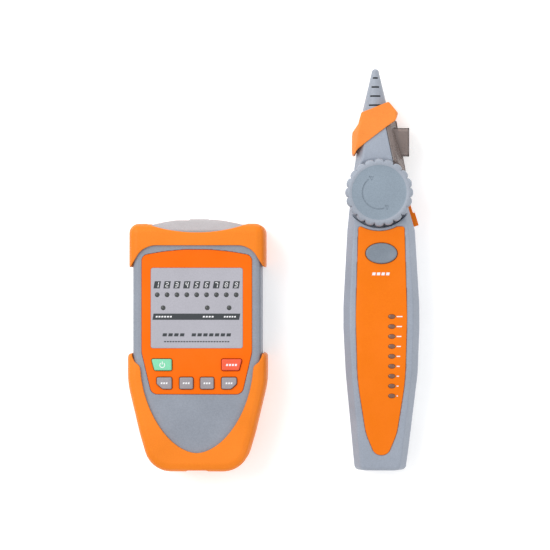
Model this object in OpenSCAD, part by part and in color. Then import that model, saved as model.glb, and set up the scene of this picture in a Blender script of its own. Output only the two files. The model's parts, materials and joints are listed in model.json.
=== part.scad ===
// Cable tone-and-probe kit: a hand-held sender and a pen-shaped probe, both lying on their backs.
// Millimetres. +Z is up, out of the two faces. The origin is the middle of the kit's footprint.

/* [Kit] */
// Width of the kit across both units
kit_w = 154.8; // [152:0.2:170]
// Running gap around a part that moves
gap = 0.25; // [0.2:0.05:0.3]
// Line-to-line gap between parts that are fitted together
fit = 0.05; // [0.03:0.01:0.08]
// Wall thickness of the moulded shells
wall = 2; // [1.8:0.1:2.2]

/* [Sender] */
// Half width of the boots
boot_hw = 36.8; // [36.4:0.1:37]
// Half width of the shell between the boots
shell_hw = 34; // [33.6:0.1:34.2]
// Height of the boots, which is the sender's thickness
boot_h = 34; // [33.8:0.1:34.4]
// Back of the shell, above the surface it lies on
shell_back = 1.2; // [1:0.1:1.4]
// Front of the shell
shell_front = 32.4; // [32.2:0.1:32.6]
// Height at which the two sender shells meet
shell_split = 17; // [16:0.5:18]
// Top of the orange faceplate
face_top = 32.8; // [32.7:0.1:32.9]
// How far a key goes down
key_travel = 0.8; // [0.5:0.1:0.8]
// How far a key stands proud of the faceplate
key_proud = 1.4; // [1.2:0.1:1.8]

/* [Probe] */
// Length from the heel to the end of the tip
probe_len = 214.6; // [212:0.2:217]
// Half width of the handle at its widest
handle_hw = 20.2; // [20:0.1:20.4]
// Thickness of the handle
handle_h = 30; // [29.8:0.1:30.4]
// Height at which the two probe shells meet
probe_split = 14; // [13:0.5:15]
// Radius of the sensitivity knob over its lobes
knob_r = 18; // [17.6:0.1:18.2]
// Number of lobes round the knob
knob_lobes = 20; // [16:1:24]
// Top of the knob
knob_top = 35.5; // [35:0.1:36.5]

/* [Hidden] */
$fn = 48;
big = 300;              // longer than anything that is cut
base_y = -probe_len / 2;
sender_x = -kit_w / 2 + boot_hw;
probe_x = kit_w / 2 - handle_hw;

// Colours
orange = "#fd8628";
face_orange = "#ff7102";
grey = "#9ca4b2";
light_grey = "#b3b8be";
dark = "#303438";
smoke = "#857a78";

// Nine-volt battery, its two terminals and its bay
battery = [26.5, 48.5, 17.5];
terminal_x = 6.35;
function terminal_r(side) = side < 0 ? 2.8 : 3.6;
battery_play = 0.4;
door_t = 2;
board_t = 1.6;
chip_t = 1.5;

// Modular jacks: body [width, height, depth] and mouth [width, height, depth]
rj45_body = [15, 12.4, 17];
rj45_mouth = [11.8, 8.4, 12.5];
rj11_body = [13, 11, 17];
rj11_mouth = [9.7, 7, 12.5];

// Outlines as [x, y, fillet radius], anticlockwise. A half outline runs up the right side.
arc_steps = 7;
sender_half = [[21.9, 2.4, 12], [28.1, 21, 60], [shell_hw, 47, 45], [shell_hw, 129.5, 6]];
bottom_boot_half = [[24.5, 0, 14], [30.4, 20, 60], [boot_hw, 47, 45], [boot_hw, 62.8, 2.2]];
top_boot_half = [[36, 107.6, 1.2], [36, 131.5, 5]];
face_half = [[24, 41.1, 4], [29.3, 63.5, 14], [29.3, 114.7, 3.5], [18, 116.7, 100], [7, 117.8, 60]];
shell_soft = 2.5;                  // rounding of the shell's edges
boot_soft = 4;                     // rounding of the boots' edges
face_margin = 2.6;                 // width of shell that shows round the faceplate between the boots
face_t = 1.6;                      // depth of the faceplate's recess
display_t = 0.8;
display_half = [[24.4, 65.5, 1.2], [24.4, 108.1, 1.2]];
tongue_shoulder = [30, 57];        // where the tongue's curve meets the boot's shoulders
tongue_apex_y = 10;
// Lower edge of the top boot
lip_half = [[60, 90, 0], [60, 107.9, 0], [35.3, 108.5, 1], [29.9, 117.2, 10], [24.4, 120, 12]];
scoop_r = 80.7;                    // the scoop in the top boot's front edge
scoop_bottom_y = 126.9;
scoop_hw = 26.6;                   // its half width
notch = [10.9, 0.5];

led_r = 1.15;
led_hole_r = 1.25;
wiremap_pitch = 5.24;
wiremap_y = 93.8;
status_leds_at = [[-17.8, 86.9], [5.6, 86.9], [17.2, 86.9]];

sender_board_z = 23;
key_flange = 0.8;                  // how far a key's foot is wider than the key
key_flange_z = 29.2;
key_flange_t = 1.1;
switch = [6, 6, 3];
upper_key = [[13.2, 53.7, 0.8], [22.4, 53.7, 0.8], [24.1, 59.8, 0.8], [13.2, 59.8, 0.8]];
outer_key = [[13.2, 43.9, 0.8], [18.2, 43.9, 2], [21.2, 46.6, 1.5], [21.2, 50.1, 0.8], [13.2, 50.1, 0.8]];
inner_key = [[1.9, 43.9, 0.8], [9.1, 43.9, 0.8], [9.1, 50.1, 0.8], [1.9, 50.1, 0.8]];
upper_switch_x = 18.2;
outer_switch_x = 17.2;
inner_switch_x = 5.5;
upper_row_y = 56.5;
lower_row_y = 47;

sender_screws_at = [[-26, 98], [26, 98], [-21, 38], [21, 38]];
boss_r = 3.4;
screw_r = 1.4;
screw_head = [2.8, 2];
screw_head_z = 6.95;
screw_len = 15;
jack_gap = 11;                     // each jack sits this far from the middle
jack_floor_z = 10.5;
jack_front_y = 126.3;
panel_top_y = 134.3;               // how far the port panel bulges
panel_back_y = 126.4;
panel_half = [24.5, 13];           // half width and half height
panel_mid_z = boot_h / 2;
mouth_play = 0.4;                  // the panel's openings are this much wider than the jacks' mouths
panel_plan_r = 90;                 // its bulge seen from the front
panel_side_r = 16.6;               // its bulge seen from the side

battery_door = [28.4, 53];
hinge_pin_r = 0.6;
hinge_pin_len = 0.9;
bay_wall = 1.4;
sender_door_y = 27;

probe_outline = [
    [12.9, 0, 3], [15.8, 22, 100], [19.3, 52, 60], [handle_hw, 76, 100], [handle_hw, 88, 100],
    [17.8, 128, 3], [14.1, 141, 12], [12.8, 160, 20], [7.2, 188, 3], [-10.2, 190, 3],
    [-14.3, 162, 60], [-17.9, 132, 40], [-handle_hw, 88, 100], [-handle_hw, 74, 100], [-19, 52, 60],
    [-16.2, 22, 100], [-14.2, 0, 3]];
// The probe seen from the side, as [y, z, fillet radius]
probe_side = [
    [0, 5, 3], [14, 0, 30], [132, 0, 60], [190, 6.5, 1], [190, 21.5, 1], [160, 28.2, 60],
    [130, handle_h, 100], [60, handle_h, 200], [0, 22.5, 3]];
probe_face = [
    [3.4, 8.5, 4.5], [8.2, 20, 30], [12.6, 48, 120], [13.6, 82, 120], [12.2, 130, 2], [-12.2, 130, 2],
    [-13.6, 82, 120], [-12.6, 48, 120], [-8.2, 20, 30], [-3.4, 8.5, 4.5]];
probe_stations = [-20, 0, 14, 52, 76, 88, 128, 141, 160, 190, 210];
front_facet = [3.4, 5.6];          // width and depth of the facets along the front
back_facet = [1.2, 1.2];
front_wall = 2.4;                  // the front shell is thicker, because the faceplate is sunk in it
probe_face_sink = 1.2;
probe_face_proud = 0.4;
knob_at = [-1.2, 147.9];
knob_pocket_r = 18.6;
knob_pocket_z = 26.6;
knob_land = 1.7;                   // grey land between the pocket and the faceplate
shaft_r = 3;
pot_r = 8.5;
pot_z = 9;
shaft_foot_z = 13;
lobe_depth = 0.8;
lobe_steps = 6;
scan_at = [0, 115.8];
scan_size = [8.35, 5.45];          // half axes
scan_flange_z = 26.4;
led_window = [1.85, 1.15];         // half length and half height
signal_x = 5.5;
signal_top_y = 82.3;
signal_pitch = 5.27;
probe_board_z = 20.2;
probe_board = [[9, 22, 2], [13.5, 60, 20], [13.5, 120, 20], [9, 161, 2], [-10, 161, 2], [-13.5, 120, 20],
    [-13.5, 60, 20], [-9, 22, 2]];
tip_axis = [-3.2, 14];             // x and z of the tip's axis
tip_root_y = 190.1;
tip_root_r = 7.3;
tip_end_r = 2;
tip_len = probe_len - tip_root_y;
tip_slots = 4;
antenna = [1.6, 20];               // radius and length of the pickup inside the tip
spigot = [5.2, 7];                 // radius and length of the tip's root inside the shells
collar = [
    [-14.6, 167, 0.8], [-13.4, 170.7, 8], [2.4, 182.9, 8], [7.4, 186.6, 0.5], [9, 190.6, 1],
    [3.9, 196.7, 1], [-10.7, 190.9, 1], [-12.4, 184.6, 3], [-15.7, 180, 2], [-15.7, 169, 1]];
collar_t = 1.2;                    // its thickness on the front and the back
collar_side_t = 3.8;               // how far its facets stand off the head's
collar_side = [[150, 1.9, 0], [190, 6.5, 0], [197, 7, 1], [197, 21, 1], [190, 21.5, 0], [150, 29, 0]];
window_zone = [[7.5, 158.6], [40, 158.6], [40, 230], [0.9, 230], [0.9, 190.5]];
probe_jack_y = 175.1;
probe_jack_z = 8.8;
probe_jack_out = 14.8;             // x of the jack's mouth
probe_jack_body = [15, 12.4, 13.8];
side_slope = 17;                   // lean of the right wall at the side button
side_button = [14.4, 7];           // along the wall and across it
side_steps = [1.6, 2.6];           // how far its two halves stand out
side_button_at = [15.4, 137, 13.5];
side_flange = 1;
side_back = -3.9;                  // inner face of its flange
side_travel = 1;
probe_door_y = 19;
speaker_at = [0, 104];
speaker_r = 10;
probe_screws_at = [[-14.6, 84], [14.6, 84], [-9.4, 10.5], [9.4, 10.5]];
probe_boss_r = 2.9;
probe_screw_r = 1.05;
probe_screw_head = [1.9, 1.5];
probe_screw_z = 3.9;
probe_screw_len = 12.6;

// ---------- geometry helpers ----------
function unit(v) = v / norm(v);
function xy(v) = [v.x, v.y];
function wrap(list, i) = list[(i + len(list)) % len(list)];
function fillet(a, p, b, r) =
    let (u = unit(xy(a) - xy(p)), v = unit(xy(b) - xy(p)), half = acos(u * v) / 2)
    r <= 0 || half > 89.9 ? [xy(p)] :
    let (reach = r / tan(half), c = xy(p) + unit(u + v) * r / sin(half),
         from = xy(p) + u * reach - c, to = xy(p) + v * reach - c,
         start = atan2(from.y, from.x), turn = (atan2(to.y, to.x) - start + 540) % 360 - 180)
    [for (i = [0:arc_steps]) c + r * [cos(start + turn * i / arc_steps), sin(start + turn * i / arc_steps)]];
function rounded(v) = [for (i = [0:len(v) - 1]) each fillet(wrap(v, i - 1), v[i], wrap(v, i + 1), v[i].z)];
function mirrored(half) = concat(half, [for (i = [len(half) - 1:-1:0]) [-half[i].x, half[i].y, half[i].z]]);
function flipped(v) = [for (i = [len(v) - 1:-1:0]) [-v[i].x, v[i].y, v[i].z]];
function outward(a, b) = let (e = unit(xy(b) - xy(a))) [e.y, -e.x];
function turns_left(a, p, b) = let (e = xy(p) - xy(a), f = xy(b) - xy(p)) e.x * f.y - e.y * f.x > 0;
// The same outline with every edge moved outward by d, or inward where d is negative
function grown(v, d) = [for (i = [0:len(v) - 1])
    let (a = wrap(v, i - 1), p = v[i], b = wrap(v, i + 1), m = outward(a, p), n = outward(p, b),
         q = xy(p) + (m + n) * d / (1 + m * n))
    [q.x, q.y, max(0.1, p.z + (turns_left(a, p, b) ? d : -d))]];

module slab(points, z0, z1) translate([0, 0, z0]) linear_extrude(z1 - z0) polygon(points);
// A slab of a convex outline whose edges at both faces are rounded off, in two facets each
module soft_slab(outline, z0, z1, r) hull() {
    slab(rounded(grown(outline, -r)), z0, z1);
    slab(rounded(grown(outline, -0.3 * r)), z0 + 0.3 * r, z1 - 0.3 * r);
    slab(rounded(outline), z0 + r, z1 - r);
}
module post(at, r, z0, z1) translate([at.x, at.y, z0]) cylinder(r = r, h = z1 - z0);
// Everything above a height, and everything below it
module above(z) translate([-big / 2, -10, z]) cube(big);
module below(z) above(z - big);
// A block centred in x on `at`, and starting from it in y and z
module block(size, at) translate(at - [size.x / 2, 0, 0]) cube(size);
// Seen from the side: [y, z] points swept across x
module across(points) translate([-60, 0, 0]) rotate([90, 0, 90]) linear_extrude(120) polygon(points);
module oval(half_x, half_y, z0, z1) translate([0, 0, z0]) linear_extrude(z1 - z0)
    polygon([for (a = [0:15:345]) [half_x * cos(a), half_y * sin(a)]]);
module sender() translate([sender_x, base_y, 0]) children();
module probe() translate([probe_x, base_y, 0]) children();

// A modular jack with its mouth at y = 0 facing +y and its floor at z = 0
module jack(body, mouth) difference() {
    block([body.x, body.z, body.y], [0, -body.z, 0]);
    block([mouth.x, mouth.z, mouth.y - 1.7], [0, -mouth.z + 0.01, (body.y - mouth.y) / 2 + 1.7]);
    block([mouth.x * 0.55, mouth.z, 2], [0, -mouth.z + 0.01, (body.y - mouth.y) / 2]);
}
module contacts(body, mouth, count, pitch) for (i = [0:count - 1])
    translate([(i - (count - 1) / 2) * pitch, -2.5, body.y / 2 + mouth.y / 2 - 0.4])
        rotate([98, 0, 0]) cylinder(r = 0.22, h = mouth.z - 3.2, $fn = 16);

// ---------- sender ----------
module sender_shell(inset = 0) soft_slab(grown(mirrored(sender_half), -inset),
    shell_back + inset, shell_front - inset, max(0.5, shell_soft - inset));
// The tongue of shell that shows between the arms of the bottom boot
function tongue_x(y) = let (t = (tongue_shoulder.y - y) / (tongue_shoulder.y - tongue_apex_y))
    tongue_shoulder.x * pow(1 - pow(t, 1.8), 0.55);
tongue_steps = 14;
tongue_right = concat([for (i = [0:tongue_steps]) let (t = i / tongue_steps,
    y = tongue_apex_y + (tongue_shoulder.y - 2 - tongue_apex_y) * t * t) [tongue_x(y), y]],
    [[30.6, 56.4], [33, 58.3], [34.2, 60.8], [34.8, 64], [60, 66], [60, 90]]);
tongue = concat(tongue_right,
    [for (i = [len(tongue_right) - 1:-1:1]) [-tongue_right[i].x, tongue_right[i].y]]);
module key_holes(extra, z0, z1) for (key = [upper_key, outer_key, inner_key]) {
    slab(rounded(grown(key, extra)), z0, z1);
    slab(rounded(grown(flipped(key), extra)), z0, z1);
}
function wiremap_leds_at() = [for (i = [-4:4]) [i * wiremap_pitch, wiremap_y]];
module led_holes(z0, z1) for (p = concat(wiremap_leds_at(), status_leds_at)) post(p, led_hole_r, z0, z1);
panel_outline = [[panel_half.x, -panel_half.y, 5], [panel_half.x, panel_half.y, 5],
    [-panel_half.x, panel_half.y, 5], [-panel_half.x, -panel_half.y, 5]];
module port_opening(extra) translate([0, 120, panel_mid_z]) rotate([-90, 0, 0])
    linear_extrude(30) polygon(rounded(grown(panel_outline, extra)));
module door_opening(at_y, z) {
    translate([0, at_y - gap, 0]) intersection() {
        block([battery_door.x + 2 * gap, battery_door.y + 2 * gap, big], [0, 0, -big / 2]);
        below(z + door_t + 0.01);
    }
    hinge_pin(at_y, z, hinge_pin_r + 0.06, hinge_pin_len + 0.3);
}
module hinge_pin(at_y, z, r, len) translate([-battery_door.x / 2 - len, at_y + door_t / 2, z + door_t / 2])
    rotate([0, 90, 0]) cylinder(r = r, h = battery_door.x + 2 * len);
// Walls round the battery, standing on the back at z
module bay_walls(at_y, z) {
    for (s = [-1, 1]) block([bay_wall, battery_door.y + 2 * gap + bay_wall, 15],
        [s * (battery_door.x / 2 + gap + bay_wall / 2), at_y - gap, z]);
    block([battery_door.x, bay_wall, 15], [0, at_y + battery_door.y + gap, z]);
}

module sender_rear_shell() color(grey) sender() difference() {
    union() {
        difference() {
            sender_shell();
            sender_shell(wall);
            above(shell_split);
        }
        for (p = sender_screws_at) post(p, boss_r, shell_back, shell_split - fit);
        bay_walls(sender_door_y, shell_back + wall / 2);
    }
    for (p = sender_screws_at) {
        post(p, screw_head.x + gap, -1, screw_head_z + screw_head.y + fit);
        post(p, screw_r + 0.1, 0, big);
    }
    door_opening(sender_door_y, shell_back);
    port_opening(fit);
}
module sender_front_shell() color(light_grey) sender() difference() {
    union() {
        difference() {
            sender_shell();
            sender_shell(wall);
            below(shell_split + fit);
        }
        for (p = sender_screws_at) post(p, boss_r, shell_split + fit, shell_front - wall + 0.5);
    }
    slab(rounded(grown(mirrored(face_half), fit)), face_top - face_t, big);
    for (p = sender_screws_at) post(p, screw_r + fit, shell_split - 1, 26);
    key_holes(gap, 20, big);
    led_holes(20, big);
    port_opening(fit);
    // Room for the lip of the top boot, which laps over the front
    lip(shell_front + fit, big, fit);
    scoop(panel_mid_z, big);
}
module scoop(z0, z1) intersection() {
    post([0, scoop_bottom_y + scoop_r], scoop_r, z0, z1);
    slab([[-scoop_hw, 120], [scoop_hw, 120], [scoop_hw, 140], [-scoop_hw, 140]], z0, z1);
}
// Everything on the port side of the top boot's lower edge
module lip(z0, z1, extra) difference() {
    slab([[-60, 95], [60, 95], [60, 145], [-60, 145]], z0, z1);
    slab(rounded(grown(mirrored(lip_half), -extra)), z0 - 1, z1 + 1);
}
module sender_top_boot() color(orange) sender() difference() {
    soft_slab(mirrored(top_boot_half), 0, boot_h, boot_soft);
    sender_shell(-fit);
    slab(rounded(mirrored(lip_half)), -1, boot_h + 1);
    port_opening(0.6);
    scoop(shell_split, boot_h + 1);
}
module sender_bottom_boot() color(orange) sender() difference() {
    soft_slab(mirrored(bottom_boot_half), 0, boot_h, boot_soft);
    sender_shell(-fit);
    slab(tongue, -1, boot_h + 1);
    slab(rounded(grown(mirrored(face_half), face_margin)), shell_front - 1, big);
    block([notch.x, 2 * notch.y, boot_h + 2], [0, -notch.y, -1]);
}
module sender_faceplate() color(face_orange) sender() difference() {
    slab(rounded(mirrored(face_half)), face_top - face_t + fit, face_top);
    slab(rounded(grown(mirrored(display_half), fit)), face_top - display_t, big);
    key_holes(gap, 0, big);
    led_holes(0, big);
}
module sender_display_panel() color("#b0b0b8") sender() difference() {
    slab(rounded(mirrored(display_half)), face_top - display_t + fit, face_top + 0.05);
    led_holes(0, big);
}
module led(at) post(at, led_r, sender_board_z + board_t + fit, face_top - 0.1);
module sender_wiremap_leds() color(dark) sender() for (p = wiremap_leds_at()) led(p);
module sender_status_leds() color(dark) sender() for (p = status_leds_at) led(p);
module sender_key(outline) sender() {
    slab(rounded(outline), key_flange_z + 0.5, face_top + key_proud);
    slab(rounded(grown(outline, key_flange)), key_flange_z, key_flange_z + key_flange_t);
}
module sender_power_key() color("#90ddb5") sender_key(flipped(upper_key));
module sender_mode_key() color("#f5603a") sender_key(upper_key);
module sender_key_1() color("#a0a0a6") sender_key(flipped(outer_key));
module sender_key_2() color("#a0a0a6") sender_key(flipped(inner_key));
module sender_key_3() color("#a0a0a6") sender_key(inner_key);
module sender_key_4() color("#a0a0a6") sender_key(outer_key);
module tact_switch(at, floor_z, press_z) {
    translate([at.x - switch.x / 2, at.y - switch.y / 2, floor_z + fit]) cube(switch);
    post(at, 1.6, floor_z + switch.z, press_z);
}
module sender_key_switches() color(dark) sender() for (s = [-1, 1]) {
    tact_switch([s * upper_switch_x, upper_row_y], sender_board_z + board_t, key_flange_z - key_travel - fit);
    tact_switch([s * outer_switch_x, lower_row_y], sender_board_z + board_t, key_flange_z - key_travel - fit);
    tact_switch([s * inner_switch_x, lower_row_y], sender_board_z + board_t, key_flange_z - key_travel - fit);
}
module sender_circuit_board() color("#1d5c38") sender() difference() {
    slab(rounded(grown(mirrored(sender_half), -wall - 1)), sender_board_z, sender_board_z + board_t);
    for (span = [[-5, 12], [125.5, 140]]) block([80, span[1] - span[0], big], [0, span[0], 0]);
    for (p = sender_screws_at) post(p, boss_r + 0.3, 0, big);
}
// Chips as [x, y, width, length]
module chips(places, board_z) for (c = places)
    block([c[2], c[3], chip_t], [c.x, c.y, board_z + board_t + fit]);
module sender_chips() color(dark) sender()
    chips([[-14, 72, 9, 12], [8, 74, 12, 8], [18, 100, 6, 7], [-18, 100, 8, 5]], sender_board_z);
module sender_port_panel() color(light_grey) sender() difference() {
    // A bulging nose: an arc seen from the front, cut by an arc seen from the side
    intersection() {
        translate([0, 0, panel_mid_z]) rotate([-90, 0, 0])
            linear_extrude(big) polygon(rounded(panel_outline));
        post([0, panel_top_y - panel_plan_r], panel_plan_r, 0, boot_h);
        translate([-60, panel_top_y - panel_side_r, panel_mid_z]) rotate([0, 90, 0])
            cylinder(r = panel_side_r, h = 120, $fn = 96);
        block([60, 20, boot_h], [0, panel_back_y, 0]);
    }
    port_mouth(-jack_gap, rj45_body, rj45_mouth);
    port_mouth(jack_gap, rj11_body, rj11_mouth);
}
module port_mouth(x, body, mouth) block([mouth.x + 2 * mouth_play, 40, mouth.y + 2 * mouth_play],
    [x, 110, jack_floor_z + (body.y - mouth.y) / 2 - mouth_play]);
module at_sender_port(s) sender() translate([s * jack_gap, jack_front_y, jack_floor_z]) children();
module sender_rj45_jack() color(dark) at_sender_port(-1) jack(rj45_body, rj45_mouth);
module sender_rj45_contacts() color("gold") at_sender_port(-1) contacts(rj45_body, rj45_mouth, 8, 1.02);
module sender_rj11_jack() color(dark) at_sender_port(1) jack(rj11_body, rj11_mouth);
module sender_rj11_contacts() color("gold") at_sender_port(1) contacts(rj11_body, rj11_mouth, 4, 1.02);
module nine_volt(at) {
    block(battery, at);
    for (s = [-1, 1]) translate([at.x + s * terminal_x, at.y + battery.y + 2, at.z + battery.z / 2])
        rotate([90, 0, 0]) cylinder(r = terminal_r(s), h = 2);
}
module battery_snap(at) difference() {
    block([25, 3.6, 12], at + [0, battery.y + fit, (battery.z - 12) / 2]);
    for (s = [-1, 1]) translate([at.x + s * terminal_x, at.y + battery.y + 2.2, at.z + battery.z / 2])
        rotate([90, 0, 0]) cylinder(r = terminal_r(s) + fit, h = 10);
}
sender_battery_at = [0, sender_door_y + battery_play, shell_back + wall + battery_play];
module sender_battery() color("#2b2d33") sender() nine_volt(sender_battery_at);
module sender_battery_snap() color("black") sender() battery_snap(sender_battery_at);
// A door that turns on its round end, with its outer face at z and its hinge line at at_y + door_t / 2
module door(at_y, z) {
    hinge_pin(at_y, z, door_t / 2, 0);
    hinge_pin(at_y, z, hinge_pin_r, hinge_pin_len);
    difference() {
        block([battery_door.x, battery_door.y - door_t / 2, door_t], [0, at_y + door_t / 2, z]);
        // Grip grooves
        for (i = [0:4]) block([14, 0.8, 1], [0, at_y + battery_door.y - 5 - 1.8 * i, z - 0.5]);
    }
}
module sender_battery_door() color(grey) sender() door(sender_door_y, shell_back);
// A screw driven upward, with its head [radius, height] at head_z and a cross in it
module screw(at, head, r, head_z, length) difference() {
    union() {
        post(at, head.x, head_z, head_z + head.y);
        post(at, r, head_z + head.y, head_z + head.y + length);
    }
    for (a = [0, 90]) translate([at.x, at.y, head_z]) rotate(a)
        cube([head.x * 1.25, head.x * 0.3, head.y], center = true);
}
module sender_screws() color("silver") sender()
    for (p = sender_screws_at) screw(p, screw_head, screw_r, screw_head_z, screw_len);

// ---------- probe ----------
module probe_body(inset = 0) intersection() {
    slab(rounded(grown(probe_outline, -inset)), -5, 45);
    across(rounded(grown(probe_side, -inset)));
    probe_form(inset);
}
// The handle as straight stations, with sloping facets along both edges of its front and of its back
function station_x(y, side) = lookup(y, [for (p = probe_outline) if (side * p.x > 0) [p.y, p.x]]);
function station_top(y) = lookup(y, [[0, 22.5], [60, handle_h], [130, handle_h], [160, 28.2], [190, 21.5]]);
function station_bottom(y) = lookup(y, [[0, 5], [14, 0], [132, 0], [190, 6.5]]);
// Both legs of a facet, shortened so that its face moves inward by inset
function facet_legs(legs, inset) =
    legs * max(0.1, 1 + inset * (norm([1 / legs.x, 1 / legs.y]) - 1 / legs.x - 1 / legs.y));
function station(y, inset) =
    let (l = station_x(y, -1) + inset, r = station_x(y, 1) - inset,
         low = station_bottom(y) + inset, high = station_top(y) - inset,
         f = facet_legs(front_facet, inset), b = facet_legs(back_facet, inset))
    [[r - b.x, y, low], [r, y, low + b.y], [r, y, high - f.y], [r - f.x, y, high],
     [l + f.x, y, high], [l, y, high - f.y], [l, y, low + b.y], [l + b.x, y, low]];
module probe_form(inset) {
    rings = [for (y = probe_stations) station(y, inset)];
    n = 8;
    last = n * (len(rings) - 1);
    polyhedron(points = [for (ring = rings) each ring], faces = concat(
        [[for (i = [n - 1:-1:0]) i], [for (i = [0:n - 1]) last + i]],
        [for (k = [0:len(rings) - 2], i = [0:n - 1]) let (a = k * n + i, b = k * n + (i + 1) % n) each
            [[a, b, a + n], [b, b + n, a + n]]]));
}
module knob_pocket() post(knob_at, knob_pocket_r, knob_pocket_z, big);
module window_cut(extra)
    slab([for (p = grown([for (q = window_zone) [q.x, q.y, 0]], extra)) xy(p)], 3.5 - extra, big);
module at_side() translate(side_button_at) rotate(side_slope) children();
// A block on the side button's own axes: from x0 inside the wall to x1 outside it
module side_block(x0, x1, y0, y1, half_z) translate([x0, y0, -half_z]) cube([x1 - x0, y1 - y0, 2 * half_z]);
module side_button_space() at_side()
    side_block(-9, 9, -side_button.x / 2 - gap, side_button.x / 2 + gap, side_button.y / 2 + gap);
module jack_space(extra) translate([-2, probe_jack_y - probe_jack_body.x / 2 - extra, probe_jack_z - extra])
    cube([60, probe_jack_body.x + 2 * extra, probe_jack_body.y + 2 * extra]);
module along_tip(y) translate([tip_axis.x, y, tip_axis.y]) rotate([-90, 0, 0]) children();
module tip_bore(extra) along_tip(tip_root_y - spigot.y - extra) cylinder(r = spigot.x + extra, h = 30);
module probe_shell_cuts() {
    window_cut(fit);
    side_button_space();
    tip_bore(fit);
    jack_space(fit);
}
module probe_rear_shell() color(grey) probe() difference() {
    union() {
        difference() {
            probe_body();
            probe_body(wall);
            above(probe_split);
        }
        intersection() {
            probe_body(0.5);
            below(probe_split - fit);
            union() {
                for (p = probe_screws_at) post(p, probe_boss_r, 0, probe_split);
                bay_walls(probe_door_y, wall / 2);
            }
        }
    }
    for (p = probe_screws_at) {
        post(p, probe_screw_head.x + gap, -1, probe_screw_z + probe_screw_head.y + fit);
        post(p, probe_screw_r + fit, 0, big);
    }
    door_opening(probe_door_y, 0);
    // Sound holes
    for (r = [0, 3.2, 6.4], a = [0:60:300]) if (r > 0 || a == 0)
        post(speaker_at + r * [cos(a), sin(a)], 0.8, -1, wall + 0.1);
    probe_shell_cuts();
}
module probe_front_shell() color(grey) probe() difference() {
    union() {
        difference() {
            probe_body();
            probe_body(front_wall);
            below(probe_split + fit);
        }
        intersection() {
            probe_body(0.5);
            for (p = probe_screws_at) post(p, probe_boss_r, probe_split + fit, handle_h);
        }
        // Floor of the knob's pocket
        intersection() {
            probe_body(0.5);
            post(knob_at, knob_pocket_r + 1.4, knob_pocket_z - 1.6, knob_pocket_z + 1);
        }
    }
    knob_pocket();
    post(knob_at, shaft_r + 0.5, 10, big);
    for (p = probe_screws_at) post(p, probe_screw_r + fit, 0, 22);
    difference() {
        slab(rounded(grown(probe_face, fit)), 10, big);
        probe_body(probe_face_sink);
        post(knob_at, knob_pocket_r + knob_land - fit, 0, big);
    }
    translate([scan_at.x, scan_at.y, 0]) oval(scan_size.x + gap, scan_size.y + gap, 15, 40);
    signal_holes();
    probe_shell_cuts();
}
module signal_leds(grow, z0, z1) for (i = [0:8])
    translate([signal_x, signal_top_y - i * signal_pitch, 0])
        oval(led_window.x + grow, led_window.y + grow, z0, z1);
module signal_holes() signal_leds(0.1, 15, 40);
module probe_faceplate() color(orange) probe() difference() {
    intersection() {
        slab(rounded(probe_face), 10, 45);
        probe_body(-probe_face_proud);
    }
    probe_body(probe_face_sink - fit);
    post(knob_at, knob_pocket_r + knob_land, 0, big);
    translate([scan_at.x, scan_at.y, 0]) oval(scan_size.x + gap, scan_size.y + gap, 15, 40);
    signal_holes();
}
module probe_scan_key() color(grey) probe() translate([scan_at.x, scan_at.y, 0]) {
    oval(scan_size.x, scan_size.y, scan_flange_z + 0.5, handle_h + 1.5);
    oval(scan_size.x + 1.2, scan_size.y + 1.2, scan_flange_z, scan_flange_z + 1);
}
module probe_scan_switch() color(dark) probe() tact_switch(scan_at, probe_board_z + board_t,
    scan_flange_z - key_travel - fit);
module probe_signal_leds() color("#5a4438") probe() intersection() {
    signal_leds(0, probe_board_z + board_t + fit, 40);
    probe_body(-0.3);
}
module probe_circuit_board() color("#1d5c38") probe() difference() {
    slab(rounded(probe_board), probe_board_z, probe_board_z + board_t);
    post(knob_at, shaft_r + 0.6, 0, big);
    for (p = probe_screws_at) post(p, probe_boss_r + 0.4, 0, big);
}
module probe_chips() color(dark) probe()
    chips([[-6, 92, 10, 8], [-5, 62, 8, 14], [7, 98, 5, 5]], probe_board_z);
module probe_sensitivity_knob() color(grey) probe() translate([knob_at.x, knob_at.y, 0]) difference() {
    union() {
        slab([for (i = [0:knob_lobes * lobe_steps - 1]) let (a = i * 360 / knob_lobes / lobe_steps)
            (knob_r - lobe_depth * (1 - abs(cos(a * knob_lobes / 2)))) * [cos(a), sin(a)]],
            knob_pocket_z + 0.5, knob_top - 1);
        translate([0, 0, knob_top - 1.01]) cylinder(r1 = knob_r - 1.2, r2 = knob_r - 2, h = 1.01, $fn = 96);
    }
    translate([0, 0, knob_pocket_z - 1]) cylinder(r = shaft_r + 0.02, h = 6);
}
module probe_knob_shaft() color("silver") probe() post(knob_at, shaft_r, shaft_foot_z, knob_pocket_z + 4.9);
module probe_potentiometer() color("#8a8f95") probe() difference() {
    post(knob_at, pot_r, pot_z, probe_board_z - 0.1);
    post(knob_at, shaft_r + 0.05, shaft_foot_z - 0.3, big);
}
tip_profile = concat([[0, 0], [tip_root_r, 0]],
    [for (a = [15:15:90]) tip_end_r * [cos(a), sin(a)] + [0, tip_len - tip_end_r]]);
module probe_tip() color(light_grey) probe() difference() {
    union() {
        along_tip(tip_root_y) rotate_extrude() polygon(tip_profile);
        along_tip(tip_root_y - spigot.y) cylinder(r = spigot.x, h = spigot.y + 1);
    }
    along_tip(tip_root_y - spigot.y - 1) cylinder(r = antenna[0] + 0.2, h = antenna[1] + 1.5);
    // Slots across the front of the tip, each narrower than the last
    for (i = [0:tip_slots - 1]) translate([tip_axis.x, 194.6 + 4.9 * i, tip_axis.y])
        block([7 - 1.4 * i, 0.8, 12], [0, 0, 4.6 - 1.2 * i]);
}
module probe_antenna() color("#b8860b") probe()
    along_tip(tip_root_y - spigot.y + 0.2) cylinder(r = antenna[0], h = antenna[1]);
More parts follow.
